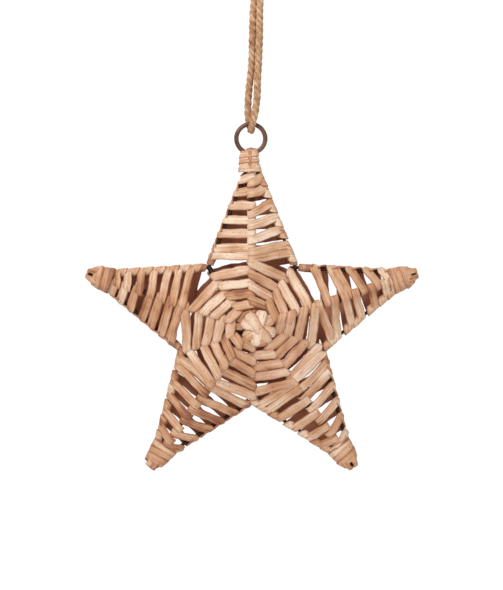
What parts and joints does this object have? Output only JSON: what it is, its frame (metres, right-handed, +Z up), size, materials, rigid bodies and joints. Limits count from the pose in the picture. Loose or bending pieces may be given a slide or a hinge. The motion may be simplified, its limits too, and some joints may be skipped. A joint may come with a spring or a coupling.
{
  "type": "wicker hanging star",
  "caption": "Five-pointed star of flat wicker strips wound over a wire frame, hung by a wire ring and a doubled jute cord.",
  "frame": {"origin": "where a nail or hook carries the cord's loop, between its two strands just under the knot", "axes": "+Z up along the hanging cord, +Y from the front face to the back face, +X to the right seen from the front"},
  "size_m": [0.2028, 0.0415, 0.3139],
  "materials": {
    "wicker": "flattened natural stalks, matte with long grain, tan to reddish brown",
    "black_iron": "black painted wire",
    "bronzed_iron": "brown, slightly rusty wire",
    "jute": "twisted golden brown jute with loose fibres"
  },
  "bodies": {
    "root": {"wire_frame": "black_iron", "hanging_ring": "bronzed_iron", "wrap_top_arm": "wicker", "wrap_right_arm": "wicker", "wrap_lower_right_arm": "wicker", "wrap_lower_left_arm": "wicker", "wrap_left_arm": "wicker", "weave_front": "wicker", "weave_back": "wicker", "hanging_cord": "jute", "cord_knot": "jute"}
  },
  "joints": []
}
